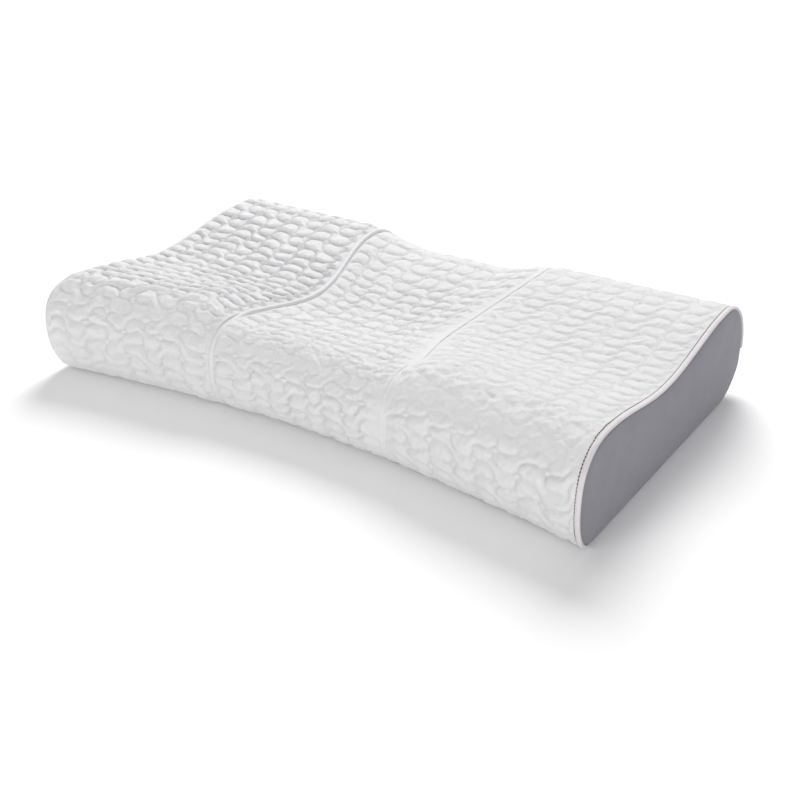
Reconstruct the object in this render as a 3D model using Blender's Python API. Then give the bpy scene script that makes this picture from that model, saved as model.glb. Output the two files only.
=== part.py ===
"""Contoured neck pillow with a zip-off quilted cover, modelled as its separate pieces.

Frame: origin at the centre of the footprint on the resting plane, +X along the pillow, -Y the
front (the neck side with the lower crest), +Z up. Metres throughout.
"""

import math

import bmesh
import bpy

# Driving dimensions of the pillow
LENGTH = 0.600
DEPTH = 0.361
SIDE_FRONT_CREST = 0.097
SIDE_VALLEY = 0.0845
SIDE_BACK_CREST = 0.104
CRADLE_FRONT_CREST = 0.082
CRADLE_VALLEY = 0.0685
CRADLE_BACK_CREST = 0.088
FRONT_NOSE_HEIGHT = 0.048
FRONT_BOW = 0.033
CRADLE_HALF_WIDTH = 0.097

# Shape of the profile
FRONT_CREST_INSET = 0.049
CRADLE_CREST_INSET = 0.036
BACK_CREST_INSET = 0.056
VALLEY_OFFSET = -0.020
CRADLE_VALLEY_SHIFT = 0.005
FRONT_UNDERCUT = 0.026
BACK_UNDERCUT = 0.042
BOW_POWER = 1.6
FRONT_FULLNESS = 2.5
FRONT_UNDERCUT_FULLNESS = 2.0
BACK_FULLNESS = 1.9
BACK_UNDERCUT_FULLNESS = 1.6
CRADLE_BLEND_START = 0.072
CRADLE_BLEND_END = 0.140
VALLEY_BLEND_START = 0.020
VALLEY_BLEND_END = 0.115
SEAM_PINCH = 0.017
SEAM_FLARE = 0.006
BACK_BLEND_START = 0.040
BACK_BLEND_END = 0.125

# Cover, liner and core
COVER_THICKNESS = 0.006
LINER_THICKNESS = 0.0008
END_PANEL_THICKNESS = 0.003
END_PANEL_BULGE = 0.002
CLEARANCE = 0.0003
BINDING_WIDTH = 0.006
BINDING_THICKNESS = 0.003
WELT_WIDTH = 0.0046
WELT_THICKNESS = 0.0034
WELT_PROUD = 0.0004
THREAD_RADIUS = 0.0004
THREAD_INSET = 0.0022

# Zip along the back
ZIP_HEIGHT = 0.037
ZIP_OPENING = 0.0140
ZIP_LENGTH = 0.500
TAPE_THICKNESS = 0.0006
TAPE_DEPTH = 0.0040
COIL_WIDTH = 0.0026
COIL_THICKNESS = 0.0014
COIL_GAP = 0.0014
STOP_LENGTH = 0.004
SLIDER_LENGTH = 0.0105
SLIDER_WIDTH = 0.0090
SLIDER_PLATE = 0.0008
SLIDER_CLEARANCE = 0.0004
BRIDGE_HEIGHT = 0.0018
BRIDGE_WIRE = 0.0009
TAB_LENGTH = 0.022
TAB_WIDTH = 0.0050
TAB_THICKNESS = 0.00064
TAB_WINDOW_END = 0.0052
TAB_WINDOW_WIDTH = 0.0025
LABEL_WIDTH = 0.040
LABEL_DROP = 0.011
LABEL_THICKNESS = 0.0004
LABEL_X = -0.200
END_TAB_THICKNESS = 0.0024
SOFT_EDGE = 0.0004
PLATE_EDGE = 0.00024
TAB_EDGE = 0.0002

# Shares of the slider's half length that its post and its bridge take up, how far the pull's pivot
# lies in from the bridge's end in wire widths, and how much of the bridge's hole the pull's bar fills
POST_SHARE = 0.5
BRIDGE_SHARE = 0.6
PIVOT_INSET = 2.2
BAR_SHARE = 0.36

# Section planes between the cradle and the rim, as shares of the way out
SIDE_PLANES = (0.35, 0.7)
LEAST_PLANE_GAP = 0.0005

# Rings of a bulging end panel: share of the bulge reached, share of the outline it has shrunk to
BULGE_RINGS = ((0.8, 0.72), (1.0, 0.36))
SHARP_ANGLE = math.radians(40)

# Steps in each stretch of the outline, and the point where each one ends
UNDER_STEPS = 6
RISE_STEPS = 7
DOWN_STEPS = 5
UP_STEPS = 6
FALL_STEPS = 7
HEEL_STEPS = 6
FRONT_BASE = 0
FRONT_CREST = UNDER_STEPS + RISE_STEPS
VALLEY = FRONT_CREST + DOWN_STEPS
BACK_CREST = VALLEY + UP_STEPS
BACK_BAND_TOP = BACK_CREST + FALL_STEPS
BACK_BAND_BOTTOM = BACK_BAND_TOP + 1
BACK_BASE = BACK_BAND_BOTTOM + HEEL_STEPS

FRONT_Y = -DEPTH / 2
BACK_Y = DEPTH / 2
HALF = LENGTH / 2
WRAP_HALF = HALF - END_PANEL_BULGE - END_PANEL_THICKNESS - CLEARANCE
BAND_LOW = ZIP_HEIGHT - ZIP_OPENING / 2
BAND_HIGH = ZIP_HEIGHT + ZIP_OPENING / 2

COLOURS = {
    "white_quilt": (0.86, 0.86, 0.88),
    "white_knit": (0.84, 0.84, 0.86),
    "grey_knit": (0.115, 0.110, 0.145),
    "band": (0.80, 0.77, 0.78),
    "thread": (0.42, 0.22, 0.10),
    "foam": (0.86, 0.82, 0.66),
    "zip": (0.80, 0.80, 0.82),
    "zip_metal": (0.62, 0.62, 0.64),
    "label": (0.88, 0.88, 0.88),
}


def material(name, roughness=0.9, metallic=0.0):
    found = bpy.data.materials.get(name)
    if found:
        return found
    made = bpy.data.materials.new(name)
    made.use_nodes = True
    shader = made.node_tree.nodes["Principled BSDF"]
    shader.inputs["Base Color"].default_value = (*COLOURS[name], 1.0)
    shader.inputs["Roughness"].default_value = roughness
    shader.inputs["Metallic"].default_value = metallic
    return made


def add_object(name, mesh_data, slot, parent=None):
    """Link a bmesh as a named object with its faces pointing out."""
    bmesh.ops.recalc_face_normals(mesh_data, faces=mesh_data.faces)
    mesh = bpy.data.meshes.new(name)
    mesh_data.to_mesh(mesh)
    mesh_data.free()
    mesh.shade_smooth()
    mesh.set_sharp_from_angle(angle=SHARP_ANGLE)
    mesh.materials.append(slot)
    made = bpy.data.objects.new(name, mesh)
    bpy.context.scene.collection.objects.link(made)
    made.parent = parent
    return made


def smooth_step(value, start, end):
    share = min(max((value - start) / (end - start), 0.0), 1.0)
    return share * share * (3.0 - 2.0 * share)


def mix(low, high, share):
    return low + (high - low) * share


def quarter(y_from, z_from, y_to, z_to, fullness, count):
    """Superellipse arc that leaves (y_from, z_from) upright and meets (y_to, z_to) level."""
    points = []
    for step in range(count + 1):
        angle = math.pi / 2 * step / count
        across = math.cos(angle) ** (2 / fullness)
        up = math.sin(angle) ** (2 / fullness)
        points.append((y_to + (y_from - y_to) * across, z_from + (z_to - z_from) * up))
    return points


def front_shift(x):
    """How far the front edge is drawn back where the cradle bows in."""
    return FRONT_BOW * (1.0 - min(abs(x) / WRAP_HALF, 1.0) ** BOW_POWER)


def profile_layout(x):
    """The heights and places that shape the outline at x."""
    cradle = 1.0 - smooth_step(abs(x), CRADLE_BLEND_START, CRADLE_BLEND_END)
    dish = 1.0 - smooth_step(abs(x), VALLEY_BLEND_START, VALLEY_BLEND_END)
    back_dip = 1.0 - smooth_step(abs(x), BACK_BLEND_START, BACK_BLEND_END)
    front_crest = mix(SIDE_FRONT_CREST, CRADLE_FRONT_CREST, cradle)
    nose = (FRONT_Y + front_shift(x), FRONT_NOSE_HEIGHT - (SIDE_FRONT_CREST - front_crest) / 2)
    front = (nose[0] + mix(FRONT_CREST_INSET, CRADLE_CREST_INSET, cradle), front_crest)
    valley = (VALLEY_OFFSET + CRADLE_VALLEY_SHIFT * cradle, mix(SIDE_VALLEY, CRADLE_VALLEY, dish))
    back = (BACK_Y - BACK_CREST_INSET, mix(SIDE_BACK_CREST, CRADLE_BACK_CREST, back_dip))
    return nose, front, valley, back


def rolling(start, end, count):
    """Points from just after start to end that leave and arrive level."""
    points = []
    for step in range(1, count + 1):
        share = step / count
        height = mix(start[1], end[1], math.sin(math.pi / 2 * share) ** 2)
        points.append((mix(start[0], end[0], share), height))
    return points


def profile(x):
    """Upper outline at x, from the front of the base over the top to the back of the base."""
    nose, front, valley, back = profile_layout(x)
    under = quarter(*nose, nose[0] + FRONT_UNDERCUT, 0.0, FRONT_UNDERCUT_FULLNESS, UNDER_STEPS)
    rise = quarter(*nose, *front, FRONT_FULLNESS, RISE_STEPS)
    fall = quarter(BACK_Y, BAND_HIGH, *back, BACK_FULLNESS, FALL_STEPS)
    heel = quarter(BACK_Y, BAND_LOW, BACK_Y - BACK_UNDERCUT, 0.0, BACK_UNDERCUT_FULLNESS, HEEL_STEPS)
    top = rolling(front, valley, DOWN_STEPS) + rolling(valley, back, UP_STEPS)
    return under[::-1] + rise[1:] + top + fall[-2::-1] + heel


def seam_drift(index):
    """How far the panel seam runs outward (or inward, if negative) of its straight line."""
    if index <= FRONT_CREST:
        return 0.0
    if index <= VALLEY:
        share = (index - FRONT_CREST) / DOWN_STEPS
        return -SEAM_PINCH * math.sin(math.pi / 2 * share) ** 2
    share = min((index - VALLEY) / UP_STEPS, 1.0)
    return mix(-SEAM_PINCH, SEAM_FLARE, math.sin(math.pi / 2 * share) ** 2)


def drifted(x, index):
    """Where the section line of plane x lies at one profile point: it follows the panel seam."""
    reach = abs(x)
    inner = reach / CRADLE_HALF_WIDTH
    outer = (WRAP_HALF - reach) / (WRAP_HALF - CRADLE_HALF_WIDTH)
    hold = smooth_step(min(inner, outer), 0.0, 1.0)
    return x + math.copysign(1.0, x) * seam_drift(index) * hold


def section(x, depth, first=FRONT_BASE, last=BACK_BASE):
    """The outline along section line x, moved inward by depth, as (x, y, z) places.

    Its two ends, on the base, move straight up.
    """
    places = []
    for index in range(first, last + 1):
        across = drifted(x, index)
        outline = profile(across)
        y, z = outline[index]
        inward = (0.0, 1.0)
        if index in (BACK_BAND_TOP, BACK_BAND_BOTTOM):
            inward = (-1.0, 0.0)
        elif index not in (FRONT_BASE, BACK_BASE):
            along_y = outline[index + 1][0] - outline[index - 1][0]
            along_z = outline[index + 1][1] - outline[index - 1][1]
            size = math.hypot(along_y, along_z)
            inward = (along_z / size, -along_y / size)
        places.append((across, y + inward[0] * depth, z + inward[1] * depth))
    return places


def stations(low, high):
    """The section planes between low and high, shared by every layer so their facets run alike."""
    welt = WELT_WIDTH / 2 + CLEARANCE
    planes = [
        0.0, BACK_BLEND_START, CRADLE_BLEND_START, CRADLE_HALF_WIDTH - welt,
        CRADLE_HALF_WIDTH + welt, (CRADLE_HALF_WIDTH + CRADLE_BLEND_END) / 2, CRADLE_BLEND_END,
        WRAP_HALF - BINDING_WIDTH - CLEARANCE,
    ]
    planes += [mix(CRADLE_BLEND_END, WRAP_HALF, share) for share in SIDE_PLANES]
    both = sorted({-plane for plane in planes} | set(planes))
    inner = [plane for plane in both if low + LEAST_PLANE_GAP < plane < high - LEAST_PLANE_GAP]
    return [low] + inner + [high]


def skin_between(mesh, rings, turn):
    """Triangles between successive closed rings.

    From ring point turn on, which is where a ring starts back along its inner side, the diagonals
    run the other way, so every layer folds along the same lines and none cuts its neighbour.
    """
    for first, second in zip(rings, rings[1:]):
        for index in range(len(first)):
            after = (index + 1) % len(first)
            a, b, c, d = first[index], first[after], second[after], second[index]
            pair = ((a, b, c), (a, c, d)) if index < turn else ((a, b, d), (b, c, d))
            for corners in pair:
                mesh.faces.new(corners)


def strip_from_rings(name, slot, mesh, rings):
    """Close a strip whose rings run out along its outer side and back along its inner side."""
    count = len(rings[0]) // 2
    skin_between(mesh, rings, count)
    for ring in (rings[0], rings[-1]):
        for index in range(count - 1):
            mirror = 2 * count - 1 - index
            mesh.faces.new((ring[index], ring[index + 1], ring[mirror - 1], ring[mirror]))
    return add_object(name, mesh, slot)


def strip_solid(name, slot, planes, first, last, outer, inner):
    """A strip of the wrap from profile point first to last, between the depths outer and inner."""
    mesh = bmesh.new()
    rings = []
    for x in planes:
        over = section(x, outer, first, last)
        below = section(x, inner, first, last)
        rings.append([mesh.verts.new(place) for place in over + below[::-1]])
    return strip_from_rings(name, slot, mesh, rings)


def block_solid(name, slot, planes, depth):
    """A solid block whose sections are the whole profile moved inward."""
    mesh = bmesh.new()
    rings = [[mesh.verts.new(place) for place in section(x, depth)] for x in planes]
    skin_between(mesh, rings, len(rings[0]))
    mesh.faces.new(rings[0][::-1])
    mesh.faces.new(rings[-1])
    return add_object(name, mesh, slot)


def sleeve_solid(name, slot, planes, outer, inner):
    """A thin sleeve open at both ends, between two depths."""
    mesh = bmesh.new()
    outside = [[mesh.verts.new(place) for place in section(x, outer)] for x in planes]
    inside = [[mesh.verts.new(place) for place in section(x, inner)] for x in planes]
    skin_between(mesh, outside, len(outside[0]))
    skin_between(mesh, inside, len(inside[0]))
    for over, below in ((outside[0], inside[0]), (outside[-1], inside[-1])):
        for index in range(len(over)):
            after = (index + 1) % len(over)
            mesh.faces.new((over[index], over[after], below[after], below[index]))
    return add_object(name, mesh, slot)


def end_plate(name, slot, side, near, far, depth, bulge=0.0):
    """A flat end plate of the whole profile, whose outer face may swell by bulge."""
    mesh = bmesh.new()
    edge = [place[1:] for place in section(side * WRAP_HALF, depth)]
    centre_y = sum(point[0] for point in edge) / len(edge)
    centre_z = sum(point[1] for point in edge) / len(edge)
    spots = [(near, 1.0), (far, 1.0)]
    if bulge:
        spots += [(far + bulge * reached, scale) for reached, scale in BULGE_RINGS]
    rings = []
    for x, scale in spots:
        ring = []
        for y, z in edge:
            place = (side * x, mix(centre_y, y, scale), mix(centre_z, z, scale))
            ring.append(mesh.verts.new(place))
        rings.append(ring)
    skin_between(mesh, rings, len(rings[0]))
    mesh.faces.new(rings[0])
    mesh.faces.new(rings[-1][::-1])
    return add_object(name, mesh, slot)


def seam_tube(name, slot, x, depth, radius, first, last):
    """A round thread or cord laid along the profile at x."""
    path = section(x, depth, first, last)
    curve = bpy.data.curves.new(name, "CURVE")
    curve.dimensions = "3D"
    curve.bevel_depth = radius
    curve.bevel_resolution = 1
    curve.use_fill_caps = True
    spline = curve.splines.new("POLY")
    spline.points.add(len(path) - 1)
    for point, place in zip(spline.points, path):
        point.co = (*place, 1.0)
    curve.materials.append(slot)
    made = bpy.data.objects.new(name, curve)
    bpy.context.scene.collection.objects.link(made)
    return made


def box_mesh(low, high):
    """A bmesh box between two corners."""
    mesh = bmesh.new()
    bmesh.ops.create_cube(mesh, size=1.0)
    for vert in mesh.verts:
        for axis in range(3):
            middle = (low[axis] + high[axis]) / 2
            vert.co[axis] = middle + vert.co[axis] * (high[axis] - low[axis])
    return mesh


def box(name, slot, low, high, parent=None, rounding=0.0):
    mesh = box_mesh(low, high)
    if rounding:
        bmesh.ops.bevel(mesh, geom=mesh.edges[:], offset=rounding, segments=2, profile=0.5,
                        affect="EDGES", material=-1)
    return add_object(name, mesh, slot, parent)


def make_core_and_liner():
    liner_depth = COVER_THICKNESS + CLEARANCE
    core_depth = liner_depth + LINER_THICKNESS + CLEARANCE
    liner_half = WRAP_HALF - CLEARANCE - LINER_THICKNESS - CLEARANCE
    planes = stations(-liner_half, liner_half)
    block_solid("foam_core", material("foam"), planes, core_depth)
    sleeve_solid("liner_wrap", material("white_knit"), planes, liner_depth,
                 liner_depth + LINER_THICKNESS)
    for label, side in (("left", -1), ("right", 1)):
        near = liner_half + CLEARANCE
        end_plate(f"liner_end_{label}", material("white_knit"), side, near,
                  near + LINER_THICKNESS, liner_depth)


def make_cover():
    welt = WELT_WIDTH / 2 + CLEARANCE
    rim = WRAP_HALF - BINDING_WIDTH - CLEARANCE
    spans = {
        "left": (-rim, -CRADLE_HALF_WIDTH - welt),
        "centre": (-CRADLE_HALF_WIDTH + welt, CRADLE_HALF_WIDTH - welt),
        "right": (CRADLE_HALF_WIDTH + welt, rim),
    }
    quilt = material("white_quilt")
    for label, (low, high) in spans.items():
        strip_solid(f"quilted_panel_{label}", quilt, stations(low, high), FRONT_BASE,
                    BACK_BAND_TOP, 0.0, COVER_THICKNESS)
    base_planes = stations(-WRAP_HALF, WRAP_HALF)
    base_panel(base_planes)
    for label, side in (("left", -1), ("right", 1)):
        planes = sorted((side * (rim + CLEARANCE), side * WRAP_HALF))
        strip_solid(f"edge_binding_{label}", material("band"), planes, FRONT_BASE,
                    BACK_BAND_TOP, 0.0, BINDING_THICKNESS)
        seam = sorted((side * CRADLE_HALF_WIDTH - WELT_WIDTH / 2,
                       side * CRADLE_HALF_WIDTH + WELT_WIDTH / 2))
        strip_solid(f"seam_welt_{label}", material("white_knit"), seam, FRONT_BASE + 1,
                    BACK_BAND_TOP, -WELT_PROUD, WELT_THICKNESS - WELT_PROUD)
        end_plate(f"end_panel_{label}", material("grey_knit"), side, WRAP_HALF + CLEARANCE,
                  HALF - END_PANEL_BULGE, 0.0, END_PANEL_BULGE)
        seam_tube(f"topstitch_{label}", material("thread"), side * (rim - THREAD_INSET),
                  -THREAD_RADIUS - CLEARANCE, THREAD_RADIUS, FRONT_BASE + 2, BACK_BAND_TOP - 1)


def base_panel(planes):
    """Plain underside that runs from the wrap's front edge to the zip."""
    mesh = bmesh.new()
    rings = []
    for x in planes:
        front = section(x, 0.0)[FRONT_BASE]
        outer = section(x, 0.0, BACK_BAND_BOTTOM)
        inner = section(x, COVER_THICKNESS, BACK_BAND_BOTTOM)
        outer.append((front[0], front[1] + CLEARANCE, 0.0))
        inner.append((front[0], front[1] + CLEARANCE, COVER_THICKNESS))
        rings.append([mesh.verts.new(place) for place in outer + inner[::-1]])
    strip_from_rings("base_panel", material("white_knit"), mesh, rings)


def make_zip():
    """Tapes, coils, stops and end tabs in the slot between the wrap and the base panel."""
    tape_front = BACK_Y - TAPE_DEPTH
    tape_back = tape_front - TAPE_THICKNESS
    coil_middle = tape_front - TAPE_THICKNESS / 2
    half_gap = COIL_GAP / 2
    half_zip = ZIP_LENGTH / 2
    for label, side in (("upper", 1), ("lower", -1)):
        edge = ZIP_OPENING / 2 - CLEARANCE
        low_z, high_z = sorted((side * (half_gap + COIL_WIDTH + CLEARANCE), side * edge))
        box(f"zip_tape_{label}", material("zip"),
            (-half_zip, tape_back, ZIP_HEIGHT + low_z), (half_zip, tape_front, ZIP_HEIGHT + high_z))
        low_z, high_z = sorted((side * half_gap, side * (half_gap + COIL_WIDTH)))
        coil_half = half_zip - STOP_LENGTH - CLEARANCE
        box(f"zip_coil_{label}", material("zip"),
            (-coil_half, coil_middle - COIL_THICKNESS / 2, ZIP_HEIGHT + low_z),
            (coil_half, coil_middle + COIL_THICKNESS / 2, ZIP_HEIGHT + high_z),
            rounding=SOFT_EDGE)
    stop_half = half_gap + COIL_WIDTH
    for label, side in (("top", -1), ("bottom", 1)):
        low_x, high_x = sorted((side * (half_zip - STOP_LENGTH), side * half_zip))
        box(f"zip_{label}_stop", material("zip_metal", 0.35, 1.0),
            (low_x, coil_middle - COIL_THICKNESS / 2, ZIP_HEIGHT - stop_half),
            (high_x, coil_middle + COIL_THICKNESS / 2, ZIP_HEIGHT + stop_half),
            rounding=SOFT_EDGE)
    for label, side in (("left", -1), ("right", 1)):
        low_x, high_x = sorted((side * (half_zip + CLEARANCE), side * WRAP_HALF))
        edge = ZIP_OPENING / 2 - CLEARANCE
        back = BACK_Y - BINDING_THICKNESS - CLEARANCE
        box(f"zip_end_tab_{label}", material("white_knit"),
            (low_x, back - END_TAB_THICKNESS, ZIP_HEIGHT - edge), (high_x, back, ZIP_HEIGHT + edge))


def make_slider():
    """Slider body with its bridge, and the pull tab that swings about the bridge."""
    coil_middle = BACK_Y - TAPE_DEPTH - TAPE_THICKNESS / 2
    reach = COIL_THICKNESS / 2 + SLIDER_CLEARANCE
    start_x = -ZIP_LENGTH / 2 + STOP_LENGTH + CLEARANCE + SLIDER_LENGTH / 2 + CLEARANCE
    carrier = bpy.data.objects.new("slider_frame", None)
    carrier.location = (start_x, coil_middle, ZIP_HEIGHT)
    bpy.context.scene.collection.objects.link(carrier)
    metal = material("zip_metal", 0.35, 1.0)
    half_x = SLIDER_LENGTH / 2
    half_z = SLIDER_WIDTH / 2
    post_z = COIL_GAP / 2 - SLIDER_CLEARANCE
    face = reach + SLIDER_PLATE
    crown = face + BRIDGE_HEIGHT
    overlap = SLIDER_PLATE / 2
    wire = BRIDGE_WIRE / 2
    post = half_x * POST_SHARE
    span = half_x * BRIDGE_SHARE
    body = box("zip_slider", metal, (-half_x, reach, -half_z), (half_x, face, half_z), carrier,
               rounding=PLATE_EDGE)
    rest = (
        ((-half_x, -face, -half_z), (half_x, -reach, half_z)),
        ((-post, -reach - overlap, -post_z), (post, reach + overlap, post_z)),
        ((-span, face - overlap, -wire), (-span + BRIDGE_WIRE, crown, wire)),
        ((span - BRIDGE_WIRE, face - overlap, -wire), (span, crown, wire)),
        ((-span, crown - BRIDGE_WIRE, -wire), (span, crown, wire)),
    )
    for low, high in rest:
        join_union(body, box_mesh(low, high), carrier)
    pivot = bpy.data.objects.new("pull_frame", None)
    pivot.parent = carrier
    pivot.location = (span - BRIDGE_WIRE * PIVOT_INSET, (face + crown - BRIDGE_WIRE) / 2, 0.0)
    bpy.context.scene.collection.objects.link(pivot)
    return carrier, pivot, metal


def join_union(target, mesh_data, parent):
    """Unite one more closed piece with target."""
    bmesh.ops.recalc_face_normals(mesh_data, faces=mesh_data.faces)
    mesh = bpy.data.meshes.new("piece")
    mesh_data.to_mesh(mesh)
    mesh_data.free()
    piece = bpy.data.objects.new("piece", mesh)
    bpy.context.scene.collection.objects.link(piece)
    piece.parent = parent
    piece.hide_render = True
    piece.display_type = "WIRE"
    union = target.modifiers.new("union", "BOOLEAN")
    union.operation = "UNION"
    union.solver = "EXACT"
    union.object = piece


def make_pull_tab(pivot, metal):
    """Flat tab with a round-cornered window that hooks the bridge."""
    bar = (BRIDGE_HEIGHT - BRIDGE_WIRE) * BAR_SHARE
    half_y = TAB_THICKNESS / 2
    half_z = TAB_WIDTH / 2
    half_window = TAB_WINDOW_WIDTH / 2
    tab = box("zip_pull_tab", metal, (-bar, -half_y, -half_z), (TAB_LENGTH, half_y, half_z), pivot,
              rounding=TAB_EDGE)
    cutter = box("tab_window", metal, (bar, -TAB_THICKNESS, -half_window),
                 (TAB_WINDOW_END, TAB_THICKNESS, half_window), pivot)
    cutter.hide_render = True
    cutter.display_type = "WIRE"
    cut = tab.modifiers.new("window", "BOOLEAN")
    cut.operation = "DIFFERENCE"
    cut.solver = "EXACT"
    cut.object = cutter


def make_label():
    """Blank care label sewn under the lower zip tape, hanging down the back."""
    front = BACK_Y + CLEARANCE
    top = BAND_LOW
    box("care_label", material("label"),
        (LABEL_X - LABEL_WIDTH / 2, front, top - LABEL_DROP),
        (LABEL_X + LABEL_WIDTH / 2, front + LABEL_THICKNESS, top))


def main():
    for found in list(bpy.data.objects):
        bpy.data.objects.remove(found, do_unlink=True)
    make_core_and_liner()
    make_cover()
    make_zip()
    carrier, pivot, metal = make_slider()
    make_pull_tab(pivot, metal)
    make_label()


main()
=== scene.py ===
"""Looks of the contoured neck pillow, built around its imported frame."""

import math

import bmesh
import bpy
import numpy as np
from mathutils import Matrix, Vector


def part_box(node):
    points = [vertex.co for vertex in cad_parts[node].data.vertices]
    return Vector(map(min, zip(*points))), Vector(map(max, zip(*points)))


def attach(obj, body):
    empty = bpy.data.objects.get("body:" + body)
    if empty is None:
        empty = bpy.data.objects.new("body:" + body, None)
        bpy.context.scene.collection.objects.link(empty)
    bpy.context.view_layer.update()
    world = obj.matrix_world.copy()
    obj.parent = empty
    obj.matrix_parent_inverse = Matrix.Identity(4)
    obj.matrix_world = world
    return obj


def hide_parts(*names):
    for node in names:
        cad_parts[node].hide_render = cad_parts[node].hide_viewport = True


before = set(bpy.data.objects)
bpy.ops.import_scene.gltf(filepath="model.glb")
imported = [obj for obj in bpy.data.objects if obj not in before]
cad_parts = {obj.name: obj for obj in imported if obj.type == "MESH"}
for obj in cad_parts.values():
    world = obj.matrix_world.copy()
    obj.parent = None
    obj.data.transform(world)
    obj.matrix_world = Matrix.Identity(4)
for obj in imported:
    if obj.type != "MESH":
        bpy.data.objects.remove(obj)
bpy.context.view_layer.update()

# ---------------------------------------------------------------- sizes of the part, in metres
DEPTH = 0.361
FRONT_Y = -DEPTH / 2
BACK_Y = DEPTH / 2
SIDE_CRESTS = (0.097, 0.0845, 0.104)
CRADLE_CRESTS = (0.082, 0.0685, 0.088)
NOSE_HEIGHT = 0.048
FRONT_BOW = 0.033
BOW_POWER = 1.6
SEAM_X = 0.097
WRAP_HALF = 0.2947
QUILT_ENDS = (-0.2945, 0.2926)
END_ROLL = 0.0060
FRONT_CREST_INSET = 0.049
CRADLE_CREST_INSET = 0.036
BACK_CREST_INSET = 0.056
VALLEY_Y = -0.020
CRADLE_VALLEY_SHIFT = 0.005
FRONT_UNDERCUT = 0.026
BACK_UNDERCUT = 0.042
FRONT_FULLNESS = 2.5
FRONT_UNDERCUT_FULLNESS = 2.0
BACK_FULLNESS = 1.9
BACK_UNDERCUT_FULLNESS = 1.6
SEAM_PINCH = 0.017
SEAM_FLARE = 0.006
BAND_LOW = 0.030
BAND_HIGH = 0.044
# How far from the middle the cradle's front, valley and back start to rise, and have risen.
CRADLE_SIDES = (0.072, 0.140)
VALLEY_SIDES = (0.020, 0.115)
BACK_SIDES = (0.040, 0.125)

# Unevenness of the cloth: the width of its waves and the seed that they are drawn from.
WAVES = {
    "column sway": (0.045, 11),
    "column waver": (0.013, 12),
    "row sway": (0.045, 13),
    "row waver": (0.012, 14),
    "puff size": (0.022, 15),
    "folds": (0.0042, 16),
    "fine folds": (0.0024, 17),
    "crumple": (0.0022, 18),
    "stretched folds": (0.0055, 19),
    "tight folds": (0.004, 20),
    "long swell": (0.05, 21),
    "front swell": (0.008, 22),
    "ledge": (0.010, 23),
    "welt": (0.004, 31),
    "band": (0.006, 41),
    "end cover": (0.035, 51),
    "underside": (0.012, 61),
    "tape": (0.02, 71),
}
WAVE_CELLS = 64
WAVE_SHIFT = 1000


# ---------------------------------------------------------------- the shape of the cover
def smooth_step(value, start, end):
    share = np.clip((value - start) / (end - start), 0.0, 1.0)
    return share * share * (3 - 2 * share)


def mix(low, high, share):
    return low + (high - low) * share


def bell(value, middle, width):
    return np.exp(-(((value - middle) / width) ** 2))


def layout(x):
    """Nose, front crest, valley and back crest of the section at x."""
    far = np.abs(x)
    cradle = 1 - smooth_step(far, *CRADLE_SIDES)
    dip = 1 - smooth_step(far, *VALLEY_SIDES)
    back = 1 - smooth_step(far, *BACK_SIDES)
    front_z = mix(SIDE_CRESTS[0], CRADLE_CRESTS[0], cradle)
    bow = 1 - np.minimum(far / WRAP_HALF, 1) ** BOW_POWER
    nose_y = FRONT_Y + FRONT_BOW * bow
    nose_z = NOSE_HEIGHT - (SIDE_CRESTS[0] - front_z) / 2
    front_y = nose_y + mix(FRONT_CREST_INSET, CRADLE_CREST_INSET, cradle)
    valley_y = VALLEY_Y + CRADLE_VALLEY_SHIFT * cradle
    valley_z = mix(SIDE_CRESTS[1], CRADLE_CRESTS[1], dip)
    back_z = mix(SIDE_CRESTS[2], CRADLE_CRESTS[2], back)
    return nose_y, nose_z, front_y, front_z, valley_y, valley_z, back_z


def hump(share):
    return np.sin(math.pi / 2 * share) ** 2


def quarter(y_from, z_from, y_to, z_to, fullness, share):
    """A rounded corner from one place to the other."""
    angle = math.pi / 2 * np.clip(share, 0, 1)
    power = 2 / fullness
    y = y_to + (y_from - y_to) * np.maximum(np.cos(angle), 0) ** power
    z = z_from + (z_to - z_from) * np.maximum(np.sin(angle), 0) ** power
    return y, z


def drift(t):
    """How far the panel seams wander from their straight line at t."""
    pinch = -SEAM_PINCH * hump(np.clip(t - 2, 0, 1))
    flare = mix(-SEAM_PINCH, SEAM_FLARE, hump(np.clip(t - 3, 0, 1)))
    return np.where(t <= 2, 0, np.where(t <= 3, pinch, flare))


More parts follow.
